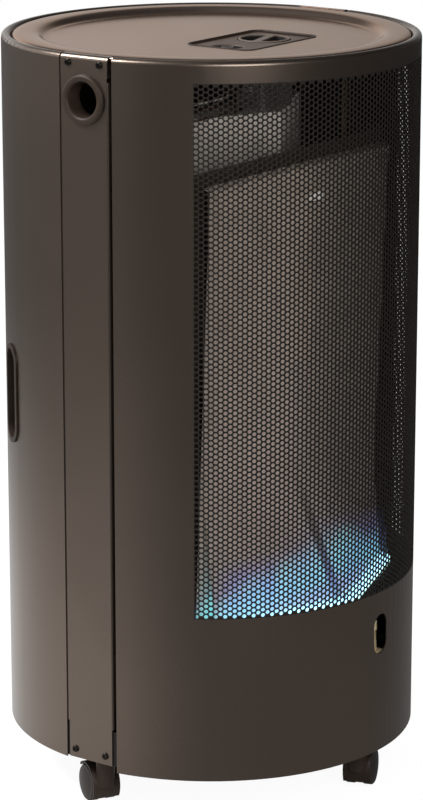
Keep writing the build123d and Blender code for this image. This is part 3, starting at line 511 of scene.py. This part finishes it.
def plate_cutters():
    groove_z = face_z - groove_deep
    groove = [opening_ring(0.0, groove_z), opening_ring(0.0, above_plate),
              opening_ring(-groove_wide, above_plate), opening_ring(-groove_wide, groove_z)]
    face = [opening_ring(-0.0001, z, opening_corner) for z in (face_z, above_plate)]
    dish = [lathe_ring(radius, z, 64, dish_middle) for radius, z in dish_profile]
    return [ring_piece("groove_cutter", groove, joined=True), ring_piece("face_cutter", face),
            ring_piece("dish_cutter", dish)]


print("dish floor", round(dish_floor_z, 4))

# %% [markdown]
# The three cuts are modifiers on the same copy. Their result is kept as a plain mesh, so the cutters can
# go, and a fine bevel rounds the new edges as a mould would.

# %% Cut the plate
def control_plate():
    blank, cutters = new_piece("plate_blank", welded_copy("control_panel")), plate_cutters()
    for cutter in cutters:
        cut = blank.modifiers.new("cut", "BOOLEAN")
        cut.operation, cut.solver, cut.object = "DIFFERENCE", "EXACT", cutter
    mesh = bpy.data.meshes.new_from_object(blank.evaluated_get(bpy.context.evaluated_depsgraph_get()))
    for used in (blank, *cutters):
        bpy.data.objects.remove(used)
    plate = new_piece("control_plate", mesh)
    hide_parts("control_panel")
    return finish_piece(plate, "control_panel", bevel=0.0004)


print("control plate faces", len(control_plate().data.polygons))

# %% [markdown]
# ## The trim round the plate
#
# A narrow black strip covers the cut edge of the sheet and draws the dark outline of the controls, which
# is partly a real trim and partly the shade along the opening's edge, painted as a dark strip. It is
# a bar of six points carried round the opening's own path, so it keeps its width in the corners.

# %% Carry the trim round the opening
tray_z = panel_top + 0.0012
trim_profile = [(0.0014, tray_z - 0.0001), (0.0012, tray_z + 0.0006), (-0.0002, tray_z + 0.0008),
                (-0.0010, tray_z + 0.0003), (-0.0010, panel_top - 0.0001), (-0.0001, panel_top - 0.0001)]


def plate_trim_and_edge_shade():
    # Partly a real black trim, partly painted shade along the opening's edge.
    trim = ring_piece("plate_trim_and_edge_shade", [opening_ring(grow, z) for grow, z in trim_profile], joined=True)
    return finish_piece(trim, "grommet_left", angle=60)


print("trim faces", len(plate_trim_and_edge_shade().data.polygons))

# %% [markdown]
# ## The lid's moulding
#
# The rim of the lid is pressed into a full, rounded moulding that stays high almost to its inner edge
# and then drops steeply to the tray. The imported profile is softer, so a turned ring with the fuller
# profile lies just over it, between the outer groove and the tray. Its edges dip into the lid, so it is
# left open underneath.

# %% Turn the moulding
lid_radius, tray_radius = 0.1992, 0.1678
lid_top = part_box("lid")[1][2] + 0.00015
moulding_profile = [(lid_radius - 0.0004, lid_top - 0.0034), (lid_radius - 0.0008, lid_top - 0.0019),
                    (lid_radius - 0.0022, lid_top - 0.0009), (lid_radius - 0.0048, lid_top - 0.0003),
                    (lid_radius - 0.0090, lid_top), (lid_radius - 0.0150, lid_top),
                    (lid_radius - 0.0200, lid_top - 0.0002), (lid_radius - 0.0240, lid_top - 0.0008),
                    (tray_radius + 0.0048, lid_top - 0.0020), (tray_radius + 0.0026, lid_top - 0.0036),
                    (tray_radius + 0.0008, lid_top - 0.0049), (tray_radius - 0.0012, tray_z + 0.0003),
                    (tray_radius - 0.0040, tray_z + 0.00015), (tray_radius - 0.0070, tray_z - 0.0003)]


def lid_moulding(segments=256):
    rings = [lathe_ring(radius, z, segments) for radius, z in moulding_profile]
    moulding = ring_piece("lid_moulding", rings, capped=False)
    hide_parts("lid")
    return finish_piece(moulding, "lid", angle=60)


print("moulding faces", len(lid_moulding().data.polygons))

# %% [markdown]
# ## The perforated window
#
# The window is one sheet with about nine thousand round holes, 4.2 mm wide and 5.4 mm apart. Drawn as
# solids it would be huge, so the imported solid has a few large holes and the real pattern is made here
# with Geometry Nodes: one small cell with an eight-sided hole is made once, instanced on a grid of
# points, welded, bent round the axis and given its thickness. Odd columns stand half a step higher than
# even ones, so plain half cells close the ragged bottom and top.

# %% A small wrapper for Geometry Nodes
class Recipe:
    """A Geometry Nodes tree with named inputs and one method that adds a node."""

    def __init__(self, name, **numbers):
        self.tree = bpy.data.node_groups.new(name, "GeometryNodeTree")
        self.tree.interface.new_socket("Geometry", in_out="OUTPUT", socket_type="NodeSocketGeometry")
        for label, number in numbers.items():
            kind = "NodeSocketInt" if isinstance(number, int) else "NodeSocketFloat"
            self.tree.interface.new_socket(label, in_out="INPUT", socket_type=kind).default_value = number
        self.group_in = self.tree.nodes.new("NodeGroupInput")

    def given(self, label):
        return self.group_in.outputs[label]

    def add(self, kind, settings=None, inputs=None, output=0, family="GeometryNode"):
        node = self.tree.nodes.new(family + kind)
        for key, setting in (settings or {}).items():
            setattr(node, key, setting)
        for key, value in (inputs or {}).items():
            for one in value if isinstance(value, list) else [value]:
                if isinstance(one, bpy.types.NodeSocket):
                    self.tree.links.new(one, node.inputs[key])
                else:
                    node.inputs[key].default_value = one
        return node.outputs[output]

    def math(self, operation, first, second=0.0):
        return self.add("Math", {"operation": operation}, {0: first, 1: second}, family="ShaderNode")

    def times(self, first, second):
        return self.math("MULTIPLY", first, second)

    def plus(self, first, second):
        return self.math("ADD", first, second)

    def minus(self, first, second):
        return self.math("SUBTRACT", first, second)

    def vector(self, x=0.0, y=0.0, z=0.0):
        return self.add("CombineXYZ", {}, {0: x, 1: y, 2: z}, family="ShaderNode")

    def position(self):
        """The x, y and z of each point."""
        split = self.tree.nodes.new("ShaderNodeSeparateXYZ")
        self.tree.links.new(self.add("InputPosition"), split.inputs[0])
        return split.outputs[0], split.outputs[1], split.outputs[2]

    def finish(self, geometry, material):
        made = self.add("RealizeInstances", {}, {0: geometry})
        made = self.add("SetMaterial", {}, {"Geometry": made, "Material": material})
        out = self.tree.nodes.new("NodeGroupOutput")
        self.tree.links.new(made, out.inputs[0])
        return self

    def make(self, name, **numbers):
        """A plain mesh object from the recipe, with some of its named inputs changed."""
        holder = new_piece(name + ".holder", bpy.data.meshes.new(name + ".empty"))
        modifier = holder.modifiers.new("recipe", "NODES")
        modifier.node_group = self.tree
        for item in self.tree.interface.items_tree:
            if item.in_out == "INPUT" and item.name in numbers:
                modifier[item.identifier] = numbers[item.name]
        graph = bpy.context.evaluated_depsgraph_get()
        mesh = bpy.data.meshes.new_from_object(holder.evaluated_get(graph))
        bpy.data.objects.remove(holder)
        mesh.name = name
        return new_piece(name, mesh)


# %% [markdown]
# The window's sizes come first. Whole columns and rows have to fit between its edges, so the steps are
# worked out from their number and differ a little from the nominal pitch.

# %% Sizes of the window
sheet = 0.0012
hole_across, hole_pitch = 0.0042, 0.0054
window_low, window_high = 0.217, 0.745
window_bearing, window_radius = radians(59), 0.2100
columns = 92
column_step = 2 * window_bearing * window_radius / columns
rows = int((window_high - window_low) / hole_pitch - 0.5)
row_step = (window_high - window_low) / (rows + 0.5)
weld_distance = 0.00002
print("columns", columns, "rows", rows, "holes", columns * rows)

# %% [markdown]
# One cell is a square plate with a hole in it. Its eight points are extruded in place, and the new ones
# are pushed to the cell's corners and the middles of its sides. The sign of a rounded coordinate says
# which: -1, 0 or 1.

# %% One cell with a hole
corner_reach = 0.52     # of the hole's width; an octagon this big is about as large as the round hole
sign_steps = 3000.0     # per metre, so a coordinate under a sixth of a millimetre counts as 0


def hole_cell(r, wide, tall):
    ring = r.add("MeshCircle", {"fill_type": "NONE"},
                 {"Vertices": 8, "Radius": r.times(r.given("hole"), corner_reach)})
    grown = r.tree.nodes.new("GeometryNodeExtrudeMesh")
    grown.mode = "EDGES"
    r.tree.links.new(ring, grown.inputs["Mesh"])
    grown.inputs["Offset Scale"].default_value = 0.0
    x, y, _ = r.position()
    side_x, side_y = (r.math("SIGN", r.math("ROUND", r.times(v, sign_steps))) for v in (x, y))
    reach = r.vector(r.times(side_x, r.times(wide, 0.5)), r.times(side_y, r.times(tall, 0.5)), 0.0)
    return r.add("SetPosition", {}, {"Geometry": grown.outputs["Mesh"],
                                     "Selection": grown.outputs["Top"], "Position": reach})


# %% [markdown]
# A grid of points becomes a lattice with the unit at each point. The sheet is made in several bands, so
# the number of a band's first column decides which of its columns count as odd. The plain half cells use
# the same lattice with a single row, at the bottom in odd columns and at the top in even ones.

# %% Copies of a cell on a lattice
def lattice(r, wide, tall, count, first_row, shift_odd, unit):
    """Copies of unit at count rows of points, odd columns moved by shift_odd rows."""
    spare_columns, spare_rows = r.minus(r.given("columns"), 1.0), r.minus(count, 1.0)
    grid = r.add("MeshGrid", {}, {"Size X": r.times(wide, spare_columns),
                                  "Size Y": r.times(tall, spare_rows),
                                  "Vertices X": r.given("columns"), "Vertices Y": count})
    x, y, _ = r.position()
    from_left = r.plus(x, r.times(wide, r.times(spare_columns, 0.5)))
    from_bottom = r.plus(y, r.times(tall, r.times(spare_rows, 0.5)))
    index = r.math("ROUND", r.math("DIVIDE", from_left, wide))
    odd = r.math("MODULO", r.plus(index, r.given("first_column")), 2.0)
    moved = r.plus(first_row, r.times(odd, shift_odd))
    place = r.vector(r.plus(from_left, r.given("start")), r.plus(from_bottom, r.times(tall, moved)), 0.0)
    spots = r.add("SetPosition", {}, {"Geometry": grid, "Position": place})
    copies = r.add("InstanceOnPoints", {}, {"Points": spots, "Instance": unit})
    return r.add("RealizeInstances", {}, {0: copies})


print("cell and lattice ready")

# %% [markdown]
# The flat sheet is bent round the axis: the distance along it becomes an angle. The thickness is made by
# an extrusion along each point's own radius, and the inner face is turned round so that it looks inwards.

# %% Bend the sheet and give it its thickness
def bent(r, geometry, radius):
    x, y, _ = r.position()
    angle = r.math("DIVIDE", x, r.given("radius"))
    place = r.vector(r.times(r.math("SINE", angle), radius),
                     r.times(r.math("COSINE", angle), r.times(radius, -1.0)), r.plus(y, r.given("low")))
    return r.add("SetPosition", {}, {"Geometry": geometry, "Position": place})


def thickened(r, flat):
    inner_radius = r.minus(r.given("radius"), r.given("thickness"))
    back = bent(r, flat, inner_radius)
    x, y, _ = r.position()
    outward = r.vector(r.math("DIVIDE", x, inner_radius), r.math("DIVIDE", y, inner_radius), 0.0)
    raised = r.add("ExtrudeMesh", {"mode": "FACES"}, {"Mesh": back, "Offset": outward,
                                                      "Offset Scale": r.given("thickness"),
                                                      "Individual": False})
    whole = r.add("JoinGeometry", {}, {0: [raised, r.add("FlipFaces", {}, {0: back})]})
    return r.add("MergeByDistance", {}, {"Geometry": whole, "Distance": weld_distance})


def perforated_recipe():
    """Cell, grid, weld, bend, thickness: the steps in the order that a press shop would reverse."""
    r = Recipe("perforated_sheet", columns=31, first_column=0, rows=rows, column_step=column_step,
               row_step=row_step, start=0.0, low=window_low, hole=hole_across, radius=window_radius,
               thickness=sheet)
    wide, tall, all_rows = r.given("column_step"), r.given("row_step"), r.given("rows")
    holes = lattice(r, wide, tall, all_rows, 0.5, 0.5, hole_cell(r, wide, tall))
    half_cell = r.add("MeshGrid", {}, {"Size X": wide, "Size Y": r.times(tall, 0.5),
                                       "Vertices X": 3, "Vertices Y": 2})
    fills = lattice(r, wide, tall, 1, r.plus(all_rows, 0.25), r.minus(0.0, all_rows), half_cell)
    flat = r.add("JoinGeometry", {}, {0: [holes, fills]})
    flat = r.add("MergeByDistance", {}, {"Geometry": flat, "Distance": weld_distance})
    return r.finish(thickened(r, flat), finishes["grille_enamel"])


# %% [markdown]
# Three bands side by side make the whole window. No band is too heavy to export, and because they share
# one recipe their edges meet exactly.

# %% Make the window in three bands
def window_bands(counts):
    perforated = perforated_recipe()
    bands, first = [], 0
    for count in counts:
        band = perforated.make(f"perforated_window.{len(bands) + 1}", columns=count, first_column=first,
                               start=(first - columns / 2 + 0.5) * column_step)
        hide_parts("front_grille")
        bands.append(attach(band, "housing"))
        first += count
    return bands


print("window faces", [len(band.data.polygons) for band in window_bands((31, 30, 31))])

# %% [markdown]
# ## Blue flames
#
# Gas that gets enough air burns in two layers. Over each port stands a short, very bright cone, and above
# the cones the hot gas glows in a faint blue that turns violet and fades out. The cones are a Geometry
# Nodes row: one small teardrop, copied along the burner's arm at random heights. The glow is a few
# curtains behind one another, which are almost clear except for soft upright streaks. Both give off
# light by Emission Color, and the curtains fade by Alpha.

# %% Flame finishes
burner_low, burner_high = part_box("burner")
flame_foot = burner_high[2]
cone_height, glow_height = 0.013, 0.085
glow_blue, glow_violet, glow_cyan = rgb(142, 198, 250), rgb(114, 118, 206), rgb(160, 250, 250)


def flame_sheet(name, strength):
    """A finish that only gives off light, and how high above the burner each point is."""
    finish = Finish(name, Roughness=1.0, Emission_Strength=strength, Base_Color=black)
    return finish, finish.axes()[2] - flame_foot


def cone_finish():
    finish, height = flame_sheet("flame_cones", 2.6)
    hot = finish.blend((height / cone_height).ramp(0.0, 1.0), rgb(190, 252, 255), glow_blue)
    return finish.set(Emission_Color=hot).material


def curtain_finish():
    finish, height = flame_sheet("flame_glow", 1.35)
    height = (height / glow_height).clamped()
    streaks = finish.noise(60, 3.0, stretch=(1, 1, 0.12))
    licks = finish.noise(22, 2.0, stretch=(1, 1, 0.35))
    fade = (1.1 - height - 0.55 * licks).clamped()
    haze = fade * (0.25 + 0.9 * streaks.ramp(0.35, 0.75))
    tint = finish.blend(height.ramp(0.05, 0.55), glow_blue, glow_violet)
    tint = finish.blend((1 - height.ramp(0.0, 0.16)) * 0.8, tint, glow_cyan)
    x = finish.axes()[0]
    away_from_nose = 0.3 + 0.7 * (x * x).ramp(0.00002, 0.00025)
    return finish.set(Emission_Color=tint, Alpha=(haze * away_from_nose * 0.42).clamped()).material


cones, curtain = cone_finish(), curtain_finish()
print("flame foot", round(flame_foot, 4))

# %% [markdown]
# Both recipes run along one arm of the burner, from a start to an end that the holder of the recipe
# sets, so the same tree makes the right and the left arm. A cone is a coarse sphere that narrows towards
# its top. A curtain is a grid that leans back a little and sways with a noise that is seeded by W.

# %% A row of flame cones
nose, arm_end = (0.0, burner_low[1] + 0.0125), (0.147, -0.121)
along_arm = {"from_x": nose[0], "from_y": nose[1], "to_x": arm_end[0], "to_y": arm_end[1],
             "foot": flame_foot}


def cone_row_recipe():
    r = Recipe("flame_cones", count=42, seed=3, width=0.0030, height=0.011, **along_arm)
    line = r.add("MeshLine", {"mode": "END_POINTS"},
                 {"Count": r.given("count"),
                  "Start Location": r.vector(r.given("from_x"), r.given("from_y"), r.given("foot")),
                  "Offset": r.vector(r.given("to_x"), r.given("to_y"), r.given("foot"))})
    drop = r.add("MeshUVSphere", {}, {"Segments": 6, "Rings": 5, "Radius": 1.0})
    x, y, z = r.position()
    narrow = r.times(r.minus(0.62, r.times(z, 0.55)), r.given("width"))
    shaped = r.vector(r.times(x, narrow), r.times(y, narrow),
                      r.times(r.plus(z, 0.9), r.times(r.given("height"), 0.5)))
    drop = r.add("SetPosition", {}, {"Geometry": drop, "Position": shaped})
    lively = r.add("RandomValue", {"data_type": "FLOAT"}, {2: 0.7, 3: 1.25, 8: r.given("seed")},
                   output=1, family="FunctionNode")
    copies = r.add("InstanceOnPoints", {}, {"Points": line, "Instance": drop,
                                            "Scale": r.vector(1.0, 1.0, lively)})
    return r.finish(copies, cones)


# %% [markdown]
# The noise moves a curtain's points only as far as they stand above the burner, so its foot stays on the
# ports while its top sways.

# %% A curtain of glow
def curtain_recipe():
    r = Recipe("flame_curtain", columns=40, levels=8, seed=1, height=glow_height, lean=0.010,
               sway=0.006, **along_arm)
    cloth = r.add("MeshGrid", {}, {"Size X": 1.0, "Size Y": 1.0, "Vertices X": r.given("columns"),
                                   "Vertices Y": r.given("levels")})
    x, y, _ = r.position()
    along, rise = r.plus(x, 0.5), r.plus(y, 0.5)
    wave = r.add("TexNoise", {"noise_dimensions": "4D"},
                 {"W": r.given("seed"), "Scale": 5.0, "Detail": 1.0}, family="ShaderNode")
    drift = r.times(r.times(r.minus(wave, 0.5), rise), r.given("sway"))
    back = r.plus(drift, r.times(rise, r.given("lean")))

    def between(start, end):
        return r.plus(r.given(start), r.times(along, r.minus(r.given(end), r.given(start))))

    place = r.vector(between("from_x", "to_x"), r.plus(back, between("from_y", "to_y")),
                     r.plus(r.given("foot"), r.times(rise, r.given("height"))))
    return r.finish(r.add("SetPosition", {}, {"Geometry": cloth, "Position": place}), curtain)


print("flame recipes ready")

# %% [markdown]
# Each arm has two rows of ports, 7 mm apart, and so two rows of cones. Three curtains stand between and
# behind them, each lower than the one before it, which gives the glow some depth.

# %% Place the flames on both arms
cone_row, glow_sheet = cone_row_recipe(), curtain_recipe()


def arm_flames(side, sign):
    for row, offset in enumerate((-0.0035, 0.0035)):
        yield cone_row.make(f"flame_cones_{side}.{row + 1}", seed=7 * row + sign + 9,
                            from_x=sign * 0.004, from_y=nose[1] + offset,
                            to_x=sign * arm_end[0], to_y=arm_end[1] + offset)
    for layer, offset in enumerate((-0.004, 0.0, 0.005)):
        yield glow_sheet.make(f"flame_glow_{side}.{layer + 1}", seed=5 * layer + 2 * sign,
                              from_x=0.0, from_y=nose[1] + offset,
                              to_x=sign * arm_end[0], to_y=arm_end[1] + offset,
                              height=glow_height * (1.0 - 0.15 * layer))


flames = [*arm_flames("right", 1), *arm_flames("left", -1)]
for flame in flames:
    flame.data.shade_smooth()
    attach(flame, "housing")
print("flames", len(flames), "faces", sum(len(f.data.polygons) for f in flames))

# %% [markdown]
# ## Floor, light and camera
#
# A pale floor runs out to the horizon under a white sky. Both are seen as white by the camera and by
# reflections, through a Light Path node, while the light that they throw on the heater stays modest. A
# seventh of the floor's colour is still plain diffuse, so the heater keeps a soft shadow. Polished and
# painted sheet mirrors its room, so the brightness that reflections see falls off with the distance on
# the floor, and with the height and the direction in the sky.

# %% Floor and sky
floor_size = 24
floor_key, sky_key = (-0.34, 0.94), (-0.10, 0.995)
near, far = 0.4, 2.3


def ray_kinds(sheet):
    """1 for rays from the camera, and 1 for rays off a mirror or through glass."""
    path = sheet.tree.nodes.new("ShaderNodeLightPath")
    camera_ray, glossy, through = (Value(sheet, path.outputs[f"Is {kind} Ray"])
                                   for kind in ("Camera", "Glossy", "Transmission"))
    return camera_ray, ((glossy + through) * (1 - camera_ray)).clamped()


def key_side(x, y, reach):
    """The studio is bright behind the heater, on the left lamp's side, and dim on the other side."""
    return 0.20 + 0.80 * ((y * floor_key[1] + x * floor_key[0]) / reach).ramp(-0.3, 1.0)


def pale_floor(white_share=0.86, white=1.10):
    """White where it is looked at; in reflections it is bright near the heater and dim far off."""
    finish = Finish("pale_floor", Roughness=0.9, Specular_IOR_Level=0.1)
    finish.set(Base_Color=finish.blend(finish.noise(3, 2.0), rgb(240, 239, 238), rgb(234, 233, 232)))
    x, y, _ = finish.axes()
    away = (x * x + y * y) ** 0.5
    mirrored = key_side(x, y, away) * (1 - 0.85 * away.ramp(near, far))
    camera_ray, mirror_ray = ray_kinds(finish)
    glow = finish.tree.nodes.new("ShaderNodeEmission")
    mix = finish.tree.nodes.new("ShaderNodeMixShader")
    for value, socket in ((camera_ray * white + mirror_ray * mirrored, glow.inputs["Strength"]),
                          (camera_ray * white_share + mirror_ray, mix.inputs[0])):
        finish.tree.links.new(value.socket, socket)
    finish.tree.links.new(finish.shader.outputs[0], mix.inputs[1])
    finish.tree.links.new(glow.outputs[0], mix.inputs[2])
    finish.tree.links.new(mix.outputs[0], finish.tree.nodes["Material Output"].inputs["Surface"])
    bpy.ops.mesh.primitive_plane_add(size=floor_size, location=(0, 0, 0))
    floor = bpy.context.object
    floor.name = "studio_floor"
    floor.data.materials.append(finish.material)


def white_sky(diffuse_strength=0.36, overhead=0.12):
    """White where it is looked at; in reflections it is bright round the horizon and dark overhead."""
    world = bpy.data.worlds.new("studio")
    bpy.context.scene.world = world
    world.use_nodes = True
    sky = Finish.on(world.node_tree)
    split = sky.tree.nodes.new("ShaderNodeSeparateXYZ")
    sky.tree.links.new(sky.node("TexCoord", output="Generated").socket, split.inputs[0])
    x, y, z = (Value(sky, split.outputs[k]) for k in range(3))
    level = (x * x + y * y + 0.001) ** 0.5
    behind = ((y * sky_key[1] + x * sky_key[0]) / level).ramp(-0.1, 1.0)
    mirrored = (0.05 + 1.05 * behind) * (1 - (1 - overhead) * z.ramp(0.27, 0.50))
    camera_ray, mirror_ray = ray_kinds(sky)
    strength = camera_ray + mirror_ray * mirrored + (1 - camera_ray - mirror_ray) * diffuse_strength
    sky.tree.nodes["Background"].inputs["Color"].default_value = (1, 1, 1, 1)
    sky.tree.links.new(strength.socket, sky.tree.nodes["Background"].inputs["Strength"])


pale_floor()
white_sky()
print("floor and sky ready")

# %% [markdown]
# Two soft boxes are enough. The one high up on the left, a little behind the heater, draws the bright
# line along the rolled edge. The broad one in front is weaker and opens up the shadows.

# %% Lamps
def softbox(name, place, target, size, power):
    lamp = bpy.data.lights.new(name, "AREA")
    lamp.shape, lamp.size, lamp.size_y, lamp.energy = "RECTANGLE", size[0], size[1], power
    holder = bpy.data.objects.new(name, lamp)
    holder.location = place
    holder.rotation_euler = (Vector(target) - Vector(place)).to_track_quat("-Z", "Y").to_euler()
    bpy.context.scene.collection.objects.link(holder)


softbox("left_softbox", place=(-1.45, 1.45, 2.7), target=(0, 0, 0.7), size=(1.9, 0.9), power=150)
softbox("front_softbox", place=(-1.9, -2.5, 1.7), target=(0, 0, 0.45), size=(1.6, 1.6), power=60)
print("lamps", len(bpy.data.lights))

# %% [markdown]
# The camera stands well back, so the upright lines stay nearly parallel, and looks down a little, so the
# lid and its controls are seen. The colours are shown as they are, without a film look.

# %% Camera
camera_place = (-2.5653, -1.8400, 1.2151)
looks_down, heading = radians(14.75), radians(-54.35)
camera = bpy.data.objects.new("camera", bpy.data.cameras.new("camera"))
bpy.context.scene.collection.objects.link(camera)
camera.location = camera_place
camera.rotation_euler = Euler((pi / 2 - looks_down, 0, heading))
camera.data.lens = 142.8
camera.data.sensor_width = 36
camera.data.clip_end = 40
bpy.context.scene.camera = camera
bpy.context.scene.view_settings.view_transform = "Standard"
print("camera lens", camera.data.lens)
